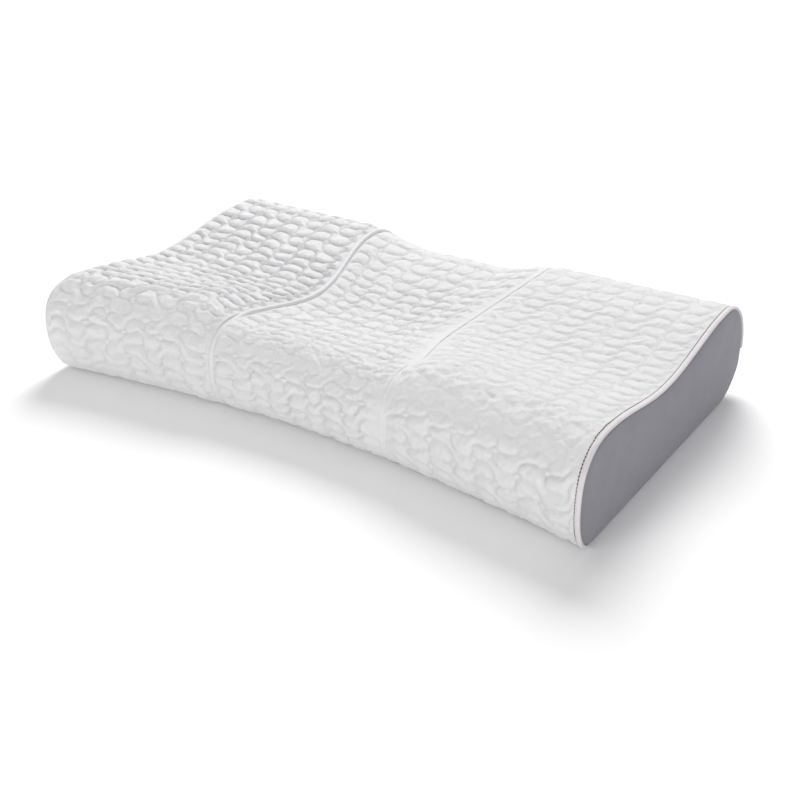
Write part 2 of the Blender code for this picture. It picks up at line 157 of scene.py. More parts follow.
def outline(x, t):
    """Place on the outside of the cover.

    t runs 0 front of the base, 1 nose, 2 front crest, 3 valley, 4 back crest, 5 top of the zip
    opening, 6 bottom of the zip opening, 7 back of the base, 8 front of the base again.
    """
    x, t = np.broadcast_arrays(np.asarray(x, float), np.asarray(t, float))
    far = np.abs(x)
    hold = smooth_step(np.minimum(far / SEAM_X, (WRAP_HALF - far) / (WRAP_HALF - SEAM_X)), 0, 1)
    over = np.where(t < 5, x + np.sign(x) * drift(t) * hold, x + np.sign(x) * SEAM_FLARE * hold)
    nose_y, nose_z, front_y, front_z, valley_y, valley_z, back_z = layout(over)
    back_y = BACK_Y - BACK_CREST_INSET
    base_y = nose_y + FRONT_UNDERCUT
    heel_y = BACK_Y - BACK_UNDERCUT
    down = np.clip(t - 2, 0, 1)
    up = np.clip(t - 3, 0, 1)
    under = quarter(nose_y, nose_z, base_y, 0, FRONT_UNDERCUT_FULLNESS, 1 - t)
    rise = quarter(nose_y, nose_z, front_y, front_z, FRONT_FULLNESS, t - 1)
    fall = quarter(BACK_Y, BAND_HIGH, back_y, back_z, BACK_FULLNESS, 5 - t)
    heel = quarter(BACK_Y, BAND_LOW, heel_y, 0, BACK_UNDERCUT_FULLNESS, t - 6)
    spans = [
        under,
        rise,
        (mix(front_y, valley_y, down), mix(front_z, valley_z, hump(down))),
        (mix(valley_y, back_y, up), mix(valley_z, back_z, hump(up))),
        fall,
        (np.full_like(t, BACK_Y), mix(BAND_HIGH, BAND_LOW, np.clip(t - 5, 0, 1))),
        heel,
        (mix(heel_y, base_y, np.clip(t - 7, 0, 1)), np.zeros_like(t)),
    ]
    chosen = [t < step for step in range(1, 8)]
    y = np.select(chosen, [span[0] for span in spans[:-1]], spans[-1][0])
    z = np.select(chosen, [span[1] for span in spans[:-1]], spans[-1][1])
    return np.stack([over, y, z], -1)


def girth(x, start, end, count=1600):
    """Distances round the section at x from start to end, with the t they belong to."""
    t = np.linspace(start, end, count)
    step = np.linalg.norm(np.diff(outline(np.full(count, x), t), axis=0), axis=1)
    return np.concatenate([[0.0], np.cumsum(step)]), t


SIDE_RUN, SIDE_T = girth(WRAP_HALF, 5, 0)
MIDDLE_RUN, MIDDLE_T = girth(0.0, 5, 0)
RIM_RUN, RIM_T = girth(WRAP_HALF, 0, 8)
UNDER_RUN, UNDER_T = girth(WRAP_HALF, 6, 8)
FULL = SIDE_RUN[-1]
SLOPE_REACH = 0.0006
LEAST_LENGTH = 1e-12


def run_to_t(run):
    """The wrap is laid out by its run: the distance from the zip over the top, at its ends."""
    return np.interp(run, SIDE_RUN, SIDE_T)


def skin(x, run, lift):
    """Place on the wrap at x and run, lifted off it by lift."""
    low, high = np.clip(run - SLOPE_REACH, 0, FULL), np.clip(run + SLOPE_REACH, 0, FULL)
    along = outline(x, run_to_t(high)) - outline(x, run_to_t(low))
    across = outline(x + SLOPE_REACH, run_to_t(run)) - outline(x - SLOPE_REACH, run_to_t(run))
    normal = np.cross(along, across)
    normal /= np.maximum(np.linalg.norm(normal, axis=-1, keepdims=True), LEAST_LENGTH)
    lift = np.broadcast_to(np.asarray(lift, float), np.shape(normal)[:-1])
    return outline(x, run_to_t(run)) + normal * lift[..., None]


def above_floor(spots):
    """Press places that would be under the floor up to it."""
    spots[:, 2] = np.maximum(spots[:, 2], 0.0)
    return spots


def uneven(waves, x, y):
    """Smooth random values from -1 to 1, with the width and seed of the named waves."""
    width, seed = WAVES[waves]
    table = np.random.default_rng(seed).random((WAVE_CELLS, WAVE_CELLS)) * 2 - 1
    u, v = x / width + WAVE_SHIFT, y / width + WAVE_SHIFT
    i, j = np.floor(u).astype(int), np.floor(v).astype(int)
    a, b = u - i, v - j
    a, b = a * a * (3 - 2 * a), b * b * (3 - 2 * b)
    i, j, right, up = (place % WAVE_CELLS for place in (i, j, i + 1, j + 1))
    low = mix(table[i, j], table[right, j], a)
    high = mix(table[i, up], table[right, up], a)
    return mix(low, high, b)


# ---------------------------------------------------------------- the quilting
# The quilting repeats every two columns and two rows: two puffs that lean right and left, and two
# knots. Each has its lean, its column and its row. Sizes are shares of a column.
PATTERN = ((1, 0.5, 0.5), (-1, 1.5, 1.5), (0, 0.5, 1.5), (0, 1.5, 0.5))
PUFF_RADIUS = 0.45
NECK_RADIUS = 0.19
NECK_REACH = 0.45
NECK_BLEND = 0.16
KNOT_RADIUS = 0.12
DOME_REACH = 0.42
DOME_POWER = 0.70
PUFF_HEIGHT = 0.0034
PUFF_SLUMP = 0.75
FRONT_SLUMP_LOSS = 0.7
BASE_LIFT = -0.0014
# How full each panel's quilting stands on the top and down the front, where the left one is the
# slackest on top.
FULLNESS = {"left": (0.95, 1.35), "centre": (0.54, 1.35), "right": (0.36, 1.05)}
PUFF_VARIETY = 0.22
# Rows of the quilting against the run, where they lie closer in the valley than on the crests.
SIDE_ROWS = ((0, -5.6), (0.107, 0), (0.127, 1), (0.160, 3), (0.202, 6), (0.247, 9), (0.285, 11),
             (0.340, 14), (0.380, 16.4), (0.420, 19.2), (0.460, 22), (0.520, 26))
CRADLE_ROWS = ((0, -5.2), (0.092, -1), (0.113, 0), (0.150, 2), (0.207, 6), (0.244, 8), (0.287, 10),
               (0.317, 12.4), (0.333, 14), (0.372, 17.2), (0.402, 19.6), (0.460, 24))
# Panel: its first column, its column spacing and its row phase.
COLUMNS = {"left": (-0.279, 0.0229, 0), "centre": (-0.0007, 0.0209, 0),
           "right": (0.1585, 0.0230, 1)}
# The left panel's rows sag between its crests, more towards its seam.
SAG_DEPTH = 0.014
SAG_START, SAG_LENGTH = 0.09, 0.258
SAG_GROWS = (-0.285, -0.105)
# How far columns and rows stray, in columns and rows, and how much more they waver down the front.
COLUMN_SWAY, COLUMN_WAVER, FRONT_COLUMN_WAVER = 0.11, 0.07, 0.10
ROW_SWAY, ROW_WAVER, FRONT_ROW_WAVER = 0.13, 0.09, 0.11

# Zones along the run. Each pair gives where a change starts and where it is complete.
FRONT_STARTS = (0.345, 0.360)
FRONT_FILLS = (0.390, 0.414)
CREST_FLATTENS, CREST_FILLS = (0.370, 0.386), (0.396, 0.412)
STRETCH_STARTS, STRETCH_ENDS = (0.342, 0.352), (0.376, 0.388)
TIGHT_STARTS, TIGHT_ENDS = (0.378, 0.388), (0.402, 0.414)
HEM_FLATTENS = (FULL - 0.050, FULL - 0.010)
BACK_FILLS, ZIP_HEM_FILLS = (0.02, 0.10), (0.004, 0.026)
LEDGE_ENDS = (0.3665, 0.3695)
# How much of a puff is left or lost in them.
CREST_LOSS = 0.45
HEM_PUFFS, BACK_PUFFS, ZIP_HEM_PUFFS = 0.25, 0.6, 0.1

# Each seam, and how far its calm cloth reaches to its left and its right.
CALM_SEAMS = ((-SEAM_X, 0.009, 0.007), (SEAM_X, 0.026, 0.018))
CALM_START = 0.002
CALM_BACK = 0.009
CALM_BACK_ENDS = (0.12, 0.20)
SEAM_PUFFS = 0.12
PUCKER_WIDTH = 0.011
SEAM_RISE, SEAM_RISE_WIDTH = 0.0004, 0.0045
RIM_CALM = (0.0002, 0.0045)
LEFT_RIM_CALM = 3
RIM_RISE, RIM_RISE_ENDS = 0.0007, (0.0, 0.0040)
RIM_GROOVE, RIM_GROOVE_MIDDLE, RIM_GROOVE_WIDTH = 0.0005, 0.0005, 0.0007
ROLL_LIMIT = 0.985

# Heights of the wrinkles, and how much the cloth is drawn out along x in each.
FOLD_HEIGHT, FOLD_DRAW = 0.00035, 0.25
FINE_FOLD_SHARE, FINE_FOLD_DRAW = 0.6, 0.4
CRUMPLE_HEIGHT, CRUMPLE_WIDTH, CRUMPLE_STRETCHED = 0.00016, 0.10, 2.2
STRETCHED_HEIGHT, STRETCHED_DRAW = 0.00090, 0.7
TIGHT_HEIGHT, TIGHT_DRAW = 0.00030, 0.35
TIGHT_RISE, STRETCHED_RISE = 0.0008, 0.4
FRONT_SWELL = 0.00030
LONG_SWELL = 0.00045
LEDGE_SWAY = 0.007
LEDGE_HEIGHT, LEDGE_MIDDLE, LEDGE_WIDTH = 0.0010, 0.362, 0.016
# How far the painted crease shade spreads from a stitched line, and how much of it is lost down the
# front.
CREASE_SHADE_WIDTH = 0.05
FRONT_CREASE_SHADE_LOSS = 0.78


def nearest_two(first, second, distance):
    """Keep the two smallest distances seen so far."""
    second = np.minimum(second, np.maximum(first, distance))
    return np.minimum(first, distance), second


def patch_distance(lean, dc, dr):
    """Distance to the rim of a leaning puff or a knot, dc columns and dr rows from its middle."""
    if not lean:
        return np.hypot(dc, dr) - KNOT_RADIUS
    along = np.abs(lean * dc + dr) / math.sqrt(2)
    across = (dc - lean * dr) / math.sqrt(2)
    puff = np.hypot(along - math.sqrt(0.5), across) - PUFF_RADIUS
    neck = np.hypot(np.maximum(along - NECK_REACH, 0), across) - NECK_RADIUS
    blend = np.maximum(NECK_BLEND - np.abs(puff - neck), 0) / NECK_BLEND
    return np.minimum(puff, neck) - blend**2 * NECK_BLEND / 4


def quilt_dome(column, row):
    """Height from 0 on a stitched line to 1 on a puff, and the distance from the line."""
    first = np.full(column.shape, np.inf)
    second = first.copy()
    for lean, at_column, at_row in PATTERN:
        near_column = np.round((column - at_column) / 2)
        near_row = np.round((row - at_row) / 2)
        for step_column in (-1, 0, 1):
            for step_row in (-1, 0, 1):
                dc = column - at_column - 2 * (near_column + step_column)
                dr = row - at_row - 2 * (near_row + step_row)
                first, second = nearest_two(first, second, patch_distance(lean, dc, dr))
    edge = (second - first) / 2
    share = np.clip(edge / DOME_REACH, 0, 1)
    return (1 - (1 - share) ** 2) ** DOME_POWER, edge


def quilt_place(panel, x, run, front):
    """Column and row of a panel's quilting at x and run."""
    start, spacing, phase = COLUMNS[panel]
    if panel == "centre":
        row = np.interp(np.interp(-run_to_t(run), -MIDDLE_T, MIDDLE_RUN), *zip(*CRADLE_ROWS))
    else:
        sag = 0.0
        if panel == "left":
            between = np.sin(math.pi * np.clip((run - SAG_START) / SAG_LENGTH, 0, 1))
            sag = SAG_DEPTH * smooth_step(x, *SAG_GROWS) * between
        row = np.interp(run - sag, *zip(*SIDE_ROWS))
    column = (x - start) / spacing
    column = column + COLUMN_SWAY * uneven("column sway", x, run)
    column = column + (COLUMN_WAVER + FRONT_COLUMN_WAVER * front) * uneven("column waver", x, run)
    row = row + phase + ROW_SWAY * uneven("row sway", x, run)
    row = row + (ROW_WAVER + FRONT_ROW_WAVER * front) * uneven("row waver", x, run)
    return column, row


def puff_strength(panel, x, run):
    """How full the puffs are, before they fade at the seams and rims."""
    strength = mix(*FULLNESS[panel], smooth_step(run, *FRONT_FILLS))
    strength *= 1 + PUFF_VARIETY * uneven("puff size", x, run)
    past_flat = 1 - smooth_step(run, *CREST_FILLS)
    strength *= 1 - CREST_LOSS * smooth_step(run, *CREST_FLATTENS) * past_flat
    strength *= mix(1.0, HEM_PUFFS, smooth_step(run, *HEM_FLATTENS))
    at_back = mix(BACK_PUFFS, 1.0, smooth_step(run, *BACK_FILLS))
    strength *= at_back * mix(ZIP_HEM_PUFFS, 1.0, smooth_step(run, *ZIP_HEM_FILLS))
    return strength


def seam_calm(x, run, rim_gap):
    """How the puffs fade beside the seams and rims, and how puckered the cloth is at the seams."""
    fade, pucker = 1.0, 0.0
    for seam, before, after in CALM_SEAMS:
        gap = np.abs(x - seam)
        calm = np.where(x < seam, before, after)
        if seam > 0:
            calm = mix(calm, CALM_BACK, 1 - smooth_step(run, *CALM_BACK_ENDS))
        fade = fade * mix(SEAM_PUFFS, 1.0, smooth_step(gap, CALM_START, calm))
        pucker = pucker + np.exp(-((gap / PUCKER_WIDTH) ** 2))
    fade = fade * smooth_step(rim_gap / np.where(x > 0, 1, LEFT_RIM_CALM), *RIM_CALM)
    return fade, pucker


def quilt_lift(panel, x, run):
    """How far the quilted cloth stands off the plain shape.

    It also gives how deep in a crease the cloth is, which the quilt finish paints as shade, and its
    distance from a stitched line.
    """
    front = smooth_step(run, *FRONT_STARTS)
    column, row = quilt_place(panel, x, run, front)
    dome, edge = quilt_dome(column, row)
    strength = puff_strength(panel, x, run)
    rim_gap = np.where(x > 0, QUILT_ENDS[1] - x, x - QUILT_ENDS[0])
    fade, pucker = seam_calm(x, run, rim_gap)
    slump = 1 + PUFF_SLUMP * (1 - FRONT_SLUMP_LOSS * front) * (row - np.round(row))
    height = dome * slump * strength * fade

    folds = uneven("folds", x * FOLD_DRAW, run)
    folds = folds + FINE_FOLD_SHARE * uneven("fine folds", x * FINE_FOLD_DRAW, run)
    stretched = smooth_step(run, *STRETCH_STARTS) * (1 - smooth_step(run, *STRETCH_ENDS))
    tight = smooth_step(run, *TIGHT_STARTS) * (1 - smooth_step(run, *TIGHT_ENDS))
    at_stitches = np.exp(-((edge / CRUMPLE_WIDTH) ** 2))
    crumple = CRUMPLE_HEIGHT * uneven("crumple", x, run) * at_stitches
    lift = BASE_LIFT + PUFF_HEIGHT * height
    lift = lift + FOLD_HEIGHT * folds * pucker
    lift = lift + crumple * (1 + CRUMPLE_STRETCHED * stretched)
    lift = lift + STRETCHED_HEIGHT * uneven("stretched folds", x * STRETCHED_DRAW, run) * stretched
    lift = (lift + TIGHT_HEIGHT * uneven("tight folds", x * TIGHT_DRAW, run) * tight
            + TIGHT_RISE * (tight + STRETCHED_RISE * stretched))
    lift = lift + FRONT_SWELL * uneven("front swell", x, run) * front
    ledge = 1 - smooth_step(run + LEDGE_SWAY * uneven("ledge", x, run), *LEDGE_ENDS)
    lift = lift + LEDGE_HEIGHT * ledge * bell(run, LEDGE_MIDDLE, LEDGE_WIDTH)
    lift = lift + LONG_SWELL * uneven("long swell", x, run)
    lift = (lift + RIM_RISE * (1 - smooth_step(rim_gap, *RIM_RISE_ENDS))
            - RIM_GROOVE * bell(rim_gap, RIM_GROOVE_MIDDLE, RIM_GROOVE_WIDTH))
    rolled = np.clip(-x - WRAP_HALF + END_ROLL, 0, END_ROLL * ROLL_LIMIT)
    lift = lift - END_ROLL + np.sqrt(END_ROLL**2 - rolled**2)
    for seam in (-SEAM_X, SEAM_X):
        lift = lift + SEAM_RISE * bell(x, seam, SEAM_RISE_WIDTH)
    # Painted shade: the crease depth darkens the quilt's colour, less so down the front.
    crease = np.exp(-((edge / CREASE_SHADE_WIDTH) ** 2)) * np.clip(strength * fade, 0, 1)
    return lift, crease * (1 - FRONT_CREASE_SHADE_LOSS * front), edge


# ---------------------------------------------------------------- the quilting settles
SETTLE_CELL = 0.0024
SETTLE_FRAMES = 10
SETTLE_QUALITY = 6
SETTLE_PRESSURE = 4.0
SETTLE_GROWTH = 0.05
SETTLE_CAP = 0.0008
STITCH_HOLD = 0.09
BORDER_HOLD = 2.5 * SETTLE_CELL
LAST_CELL_EDGE = 0.001


def places_in(mesh):
    flat = np.zeros(len(mesh.vertices) * 3)
    mesh.vertices.foreach_get("co", flat)
    return flat.reshape(-1, 3)


def settled_moves(panel, low, high):
    """Moves of the cloth as its filling swells between the held stitch lines, on a coarse grid."""
    across, along = round((high - low) / SETTLE_CELL), round(FULL / SETTLE_CELL)
    made = bmesh.new()
    bmesh.ops.create_grid(made, x_segments=across, y_segments=along, size=1.0)
    mesh = bpy.data.meshes.new("settling_cloth")
    made.to_mesh(mesh)
    made.free()
    piece = bpy.data.objects.new("settling_cloth", mesh)
    bpy.context.scene.collection.objects.link(piece)
    share = (places_in(mesh) + 1) / 2
    x, run = mix(low, high, share[:, 0]), (1 - share[:, 1]) * FULL
    lift, _, edge = quilt_lift(panel, x, run)
    spots = skin(x, run, lift)
    mesh.vertices.foreach_set("co", spots.ravel())
    border = np.minimum(np.minimum(x - low, high - x), np.minimum(run, FULL - run))
    held = np.nonzero((edge < STITCH_HOLD) | (border < BORDER_HOLD))[0]
    stitches = piece.vertex_groups.new(name="stitches")
    stitches.add([int(index) for index in held], 1.0, "REPLACE")
    cloth = piece.modifiers.new("filling", "CLOTH")
    cloth.settings.vertex_group_mass = "stitches"
    cloth.settings.use_pressure = True
    cloth.settings.uniform_pressure_force = SETTLE_PRESSURE
    cloth.settings.shrink_min = -SETTLE_GROWTH
    cloth.settings.quality = SETTLE_QUALITY
    cloth.settings.effector_weights.gravity = 0.0
    cloth.point_cache.frame_end = SETTLE_FRAMES
    for frame_number in range(1, SETTLE_FRAMES + 1):
        bpy.context.scene.frame_set(frame_number)
    settled = places_in(piece.evaluated_get(bpy.context.evaluated_depsgraph_get()).data)
    moves = settled - spots
    size = np.linalg.norm(moves, axis=1, keepdims=True)
    moves *= SETTLE_CAP / np.sqrt(size**2 + SETTLE_CAP**2)
    table = np.zeros((across + 1, along + 1, 3))
    i, j = np.round(share[:, 0] * across).astype(int), np.round(share[:, 1] * along).astype(int)
    table[i, j] = moves
    bpy.data.objects.remove(piece)
    bpy.data.meshes.remove(mesh)
    bpy.context.scene.frame_set(1)
    return table


def moves_at(table, u, v):
    """Read the coarse moves at shares u and v of the panel."""
    last_i, last_j = table.shape[0] - 1, table.shape[1] - 1
    i = np.clip(u * last_i, 0, last_i - LAST_CELL_EDGE)
    j = np.clip(v * last_j, 0, last_j - LAST_CELL_EDGE)
    a, b = i.astype(int), j.astype(int)
    right, up = (i - a)[:, None], (j - b)[:, None]
    low = mix(table[a, b], table[a + 1, b], right)
    high = mix(table[a, b + 1], table[a + 1, b + 1], right)
    return mix(low, high, up)


# ---------------------------------------------------------------- making pieces
MERGE_REACH = 1e-6


def add_piece(name, made, finish, stands_for):
    """Link a bmesh as a finished piece that rides on the pillow."""
    mesh = bpy.data.meshes.new(name)
    made.to_mesh(mesh)
    made.free()
    mesh.shade_smooth()
    mesh.materials.append(finish)
    piece = bpy.data.objects.new(name, mesh)
    bpy.context.scene.collection.objects.link(piece)
    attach(piece, "pillow")
    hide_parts(stands_for)
    return piece


def finish_node(node, finish):
    """Give a frame node that is shown as it is its finish."""
    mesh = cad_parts[node].data
    mesh.materials.clear()
    mesh.materials.append(finish)


def cloth_grid(across, along, place):
    """A grid of cloth whose (u, v) from 0 to 1 go to the places that place gives."""
    made = bmesh.new()
    made.loops.layers.uv.verify()
    bmesh.ops.create_grid(made, x_segments=across, y_segments=along, size=1.0, calc_uvs=True)
    made.verts.ensure_lookup_table()
    flat = np.array([vert.co[:2] for vert in made.verts])
    for vert, spot in zip(made.verts, place((flat[:, 0] + 1) / 2, (flat[:, 1] + 1) / 2)):
        vert.co = spot
    return made


def merge_doubles(made):
    bmesh.ops.remove_doubles(made, verts=made.verts, dist=MERGE_REACH)


def thicken(piece, thickness, offset=-1.0):
    """Give an open cloth its inner side."""
    solid = piece.modifiers.new("thickness", "SOLIDIFY")
    solid.thickness = thickness
    solid.offset = offset


# ---------------------------------------------------------------- quilted panels
QUILT_CELL = 0.00110
QUILT_THICKNESS = 0.0042
RUN_SPOTS = 400
# The mesh is finer along the run in between than at the back and under the front.
FINE_FROM, FINE_TO = 0.06, 0.42
COARSE_SHARE = 0.6


def quilted_panel(panel, low, high, finish):
    cell = QUILT_CELL
    runs = np.linspace(0, FULL, RUN_SPOTS)
    needed = np.where((FINE_FROM < runs) & (runs < FINE_TO), 1.0, COARSE_SHARE)
    needed = np.concatenate([[0.0], np.cumsum(needed)[:-1]]) * FULL / (RUN_SPOTS - 1)
    made = bmesh.new()
    made.loops.layers.uv.verify()
    bmesh.ops.create_grid(made, x_segments=round((high - low) / cell),
                          y_segments=round(needed[-1] / cell), size=1.0, calc_uvs=True)
    piece = add_piece(f"quilted_cover_{panel}", made, finish, f"quilted_panel_{panel}")
    mesh = piece.data
    share = (places_in(mesh) + 1) / 2
    x = mix(low, high, share[:, 0])
    run = np.interp((1 - share[:, 1]) * needed[-1], needed, runs)
    lift, crease, _ = quilt_lift(panel, x, run)
    spots = skin(x, run, lift)
    spots += moves_at(settled_moves(panel, low, high), share[:, 0], 1 - run / FULL)
    mesh.vertices.foreach_set("co", above_floor(spots).ravel())
    # The crease depth is kept on the mesh for the quilt finish, which paints it as shade.
    mesh.attributes.new("crease", "FLOAT", "POINT").data.foreach_set("value", crease)
    mesh.update()
    thicken(piece, QUILT_THICKNESS)


# ---------------------------------------------------------------- welts, bands and stitches
WELT_HALF = 0.0027
PANEL_GAP = WELT_HALF - 0.0004
# Each welt: its side, its name, half its width, how much taller it stands on the top than down the
# front, and how square its section is there.
WELTS = ((-1, "left", WELT_HALF, 0.0015, 0.75), (1, "right", 0.0033, -0.0002, 0.5))
WELT_SINKS = (0.330, 0.352)
WELT_MIDDLE, WELT_SINK, WELT_TALL, WELT_FRONT_SQUARE = -0.0015, 0.0006, 0.0015, 0.38
WELT_START, WELT_END = 0.002, FULL - 0.004
DASH_PITCH, DASH_DEPTH = 0.0030, 0.3
LINE_DEPTH, LINE_AT, LINE_WIDTH = 0.0004, 0.5, 0.12
LEFT_GROOVE_DEPTH, LEFT_GROOVE_AT, LEFT_GROOVE_WIDTH = 0.0013, 0.66, 0.10
RIGHT_GROOVE_DEPTH, RIGHT_GROOVE_AT, RIGHT_GROOVE_WIDTH = 0.0005, 0.55, 0.12
WELT_WRINKLE, WELT_WRINKLE_ACROSS = 0.00012, 0.003
# Each rolled band: its side, its name, its middle, half its width, its lift and half its height.
BANDS = ((-1, "left", 0.2953, 0.0020, -0.0064, 0.0021),
         (1, "right", 0.2947, 0.0024, -0.0013, 0.0015))
BAND_SQUARE = 0.65
BAND_RIB, BAND_RIB_PITCH, BAND_RIB_SLANT = 0.00006, 0.0085, 0.0026
BAND_WRINKLE, BAND_WRINKLE_ACROSS = 0.00014, 0.004
# Each line of stitches: its name, its place and how far it stands off the quilting.
STITCH_LINES = (("left", QUILT_ENDS[0] + 0.0003, 0.0), ("right", QUILT_ENDS[1] - 0.0006, 0.0004))
STITCH_PITCH = 0.0031
STITCH_LONG = 0.0028
STITCH_RADIUS = 0.00055
STITCH_START = 0.006


def ridge(name, finish, stands_for, centre, half, middle, tall, square, detail, start, end,
          around, along):
    """A rolled edge or welt that follows the wrap along x = centre.

    Its section is half wide and tall(run) high either side of its middle, which lies at the lift
    middle(run), and square(run) rounds it. detail(over, run) is added to its upper side.
    """
    def place(u, v):
        turn, run = 2 * math.pi * u, mix(start, end, v)
        power = square(run)
        over = np.abs(np.cos(turn)) ** power * np.sign(np.cos(turn))
        rise = np.abs(np.sin(turn)) ** power * np.sign(np.sin(turn))
        lift = middle(run) + tall(run) * rise + detail(over, run) * np.maximum(rise, 0)
        return above_floor(skin(centre + half * over, run, lift))

    made = cloth_grid(around, along, place)
    merge_doubles(made)
    bmesh.ops.holes_fill(made, edges=[edge for edge in made.edges if edge.is_boundary], sides=0)
    bmesh.ops.recalc_face_normals(made, faces=made.faces)
    piece = add_piece(name, made, finish, stands_for)


def seam_welts(finish):
    """Welts that stand up along the top and lie nearly flush down the front."""
    def sunk(run):
        return smooth_step(run, *WELT_SINKS)

    def two_lines(over, at, width):
        return bell(over, at, width) + bell(over, -at, width)

    for side, label, half, top, square in WELTS:
        def detail(over, run):
            if side < 0:
                groove = LEFT_GROOVE_DEPTH * bell(over, LEFT_GROOVE_AT, LEFT_GROOVE_WIDTH)
            else:
                groove = RIGHT_GROOVE_DEPTH * two_lines(over, RIGHT_GROOVE_AT, RIGHT_GROOVE_WIDTH)
            dashes = 1 - DASH_DEPTH + DASH_DEPTH * np.sin(run * 2 * math.pi / DASH_PITCH)
            lines = LINE_DEPTH * dashes * two_lines(over, LINE_AT, LINE_WIDTH) * sunk(run)
            wrinkle = WELT_WRINKLE * uneven("welt", over * WELT_WRINKLE_ACROSS, run)
            return wrinkle - groove * (1 - sunk(run)) - lines

        ridge(f"welt_{label}", finish, f"seam_welt_{label}", side * SEAM_X, half,
              lambda run: WELT_MIDDLE - WELT_SINK * sunk(run),
              lambda run: WELT_TALL + mix(top, 0.0, sunk(run)),
              lambda run: mix(square, WELT_FRONT_SQUARE, sunk(run)),
              detail, WELT_START, WELT_END, 48, 360)


def rolled_bands(finish):
    """Satin bands rolled over both rims; the left one is rolled further down the end."""
    def detail(over, run):
        ribs = np.sin((run + over * BAND_RIB_SLANT) * 2 * math.pi / BAND_RIB_PITCH)
        return BAND_RIB * ribs + BAND_WRINKLE * uneven("band", over * BAND_WRINKLE_ACROSS, run)

    for side, label, centre, half, middle, tall in BANDS:
        ridge(f"rolled_band_{label}", finish, f"edge_binding_{label}", side * centre, half,
              lambda run: np.full_like(run, middle), lambda run: np.full_like(run, tall),
              lambda run: np.full_like(run, BAND_SQUARE), detail, 0.0, FULL, 24, 420)


def edge_stitches(finish):
    """Long stitches laid end to end just inside the rolled band."""
    size = Matrix.Diagonal((STITCH_RADIUS, STITCH_RADIUS, STITCH_LONG / 2, 1.0))
    for label, line, rise in STITCH_LINES:
        made = bmesh.new()
        for step in range(int((FULL - 2 * STITCH_START) / STITCH_PITCH)):
            run = STITCH_START + STITCH_PITCH * step
            x = np.full(2, line)
            runs = np.array([run - STITCH_LONG / 2, run + STITCH_LONG / 2])
            lift = quilt_lift(label, x, runs)[0] + rise
            start, end = (Vector(spot) for spot in skin(x, runs, lift))
            turn = (end - start).to_track_quat("Z", "Y").to_matrix().to_4x4()
            bmesh.ops.create_uvsphere(made, u_segments=6, v_segments=5, radius=1.0,
                                      matrix=Matrix.Translation((start + end) / 2) @ turn @ size)
        add_piece(f"edge_stitches_{label}", made, finish, f"topstitch_{label}")


# ---------------------------------------------------------------- ends and underside
END_FACE = 0.2968
END_MIDDLE = (0.0, 0.045)
END_SWELL, END_SWELL_POWER = 0.0028, 5
END_TUCK, END_TUCKS = 0.0012, (0.965, 1.0)
END_WAVE, END_WAVE_POWER = 0.00018, 8
END_LOWEST = 0.0008
END_THICKNESS = 0.0016
RIM_REACH = 0.0005
RIM_INSET = 0.0022
# The left cover ends further in along the wrap, where the quilting rolls over the rim.
LEFT_WRAP_INSET = 0.0072
WRAP_STARTS, WRAP_STOPS = (0.0, 0.15), (4.9, 5.0)
UNDERSIDE_THICKNESS = 0.0045
UNDERSIDE_SLACK, UNDERSIDE_DRAW = 0.0005, 0.5
SLACK_RISES, SLACK_AT_BACK = (0.0, 0.008), (0.10, 0.14)


def end_covers(finish):
    """Smooth grey knit stretched over each end, tucked under the rolled band."""
    for side, label, wrap_inset in ((-1, "left", LEFT_WRAP_INSET), (1, "right", RIM_INSET)):
        def place(u, v):
            def rim(distance):
                t = np.interp(distance % RIM_RUN[-1], RIM_RUN, RIM_T)
                return outline(np.full_like(u, side * WRAP_HALF), t)

            run = RIM_RUN[-1] * u
            t = np.interp(run, RIM_RUN, RIM_T)
            wrapped = smooth_step(t, *WRAP_STARTS) * (1 - smooth_step(t, *WRAP_STOPS))
            inset = mix(RIM_INSET, wrap_inset, wrapped)
            edge = outline(np.full_like(u, side * WRAP_HALF), t)
            way = rim(run + RIM_REACH) - rim(run - RIM_REACH)
            size = np.maximum(np.hypot(way[:, 1], way[:, 2]), LEAST_LENGTH)
            rim_y = edge[:, 1] + way[:, 2] / size * inset
            rim_z = np.maximum(edge[:, 2] - way[:, 1] / size * inset, END_LOWEST)
            share = 1 - v
            y, z = mix(END_MIDDLE[0], rim_y, share), mix(END_MIDDLE[1], rim_z, share)
            swell = (1 - share**END_SWELL_POWER) * END_SWELL
            tuck = smooth_step(share, *END_TUCKS) * END_TUCK
            wave = END_WAVE * uneven("end cover", y, z)
            x = side * (END_FACE + swell - tuck + wave * (1 - share**END_WAVE_POWER))
            return np.stack([x, y, z], -1)

        made = cloth_grid(260, 60, place)
        merge_doubles(made)
        bmesh.ops.recalc_face_normals(made, faces=made.faces)
        facing = sum(face.normal.x * face.calc_area() for face in made.faces)
        if facing * side < 0:
            bmesh.ops.reverse_faces(made, faces=made.faces)
        piece = add_piece(f"end_cover_{label}", made, finish, f"end_panel_{label}")
        thicken(piece, END_THICKNESS)


def underside(finish):
    """Plain cloth under the pillow and up its back, with a little slack below the zip."""
    def place(u, v):
        x = mix(-WRAP_HALF, WRAP_HALF, u)
        spots = outline(x, np.interp(UNDER_RUN[-1] * (1 - v), UNDER_RUN, UNDER_T))
        slack = UNDERSIDE_SLACK * uneven("underside", x * UNDERSIDE_DRAW, spots[:, 2])
        slack = slack * smooth_step(spots[:, 2], *SLACK_RISES)
        spots[:, 1] += slack * smooth_step(spots[:, 1], *SLACK_AT_BACK)
        return spots

    made = cloth_grid(150, 120, place)
    bmesh.ops.reverse_faces(made, faces=made.faces)
    piece = add_piece("underside", made, finish, "base_panel")
    thicken(piece, UNDERSIDE_THICKNESS)


# ---------------------------------------------------------------- the zip and its label
TAPE_WAVE = 0.00012
COIL_PITCH = 0.0016
TOOTH_SHARE = 0.36
END_CLOTH_BEVEL = 0.0009
LABEL_THICKNESS = 0.0003
LABEL_CURL = 0.0012
LABEL_SWAY, LABEL_SWAY_TURN = 0.5, 5.0


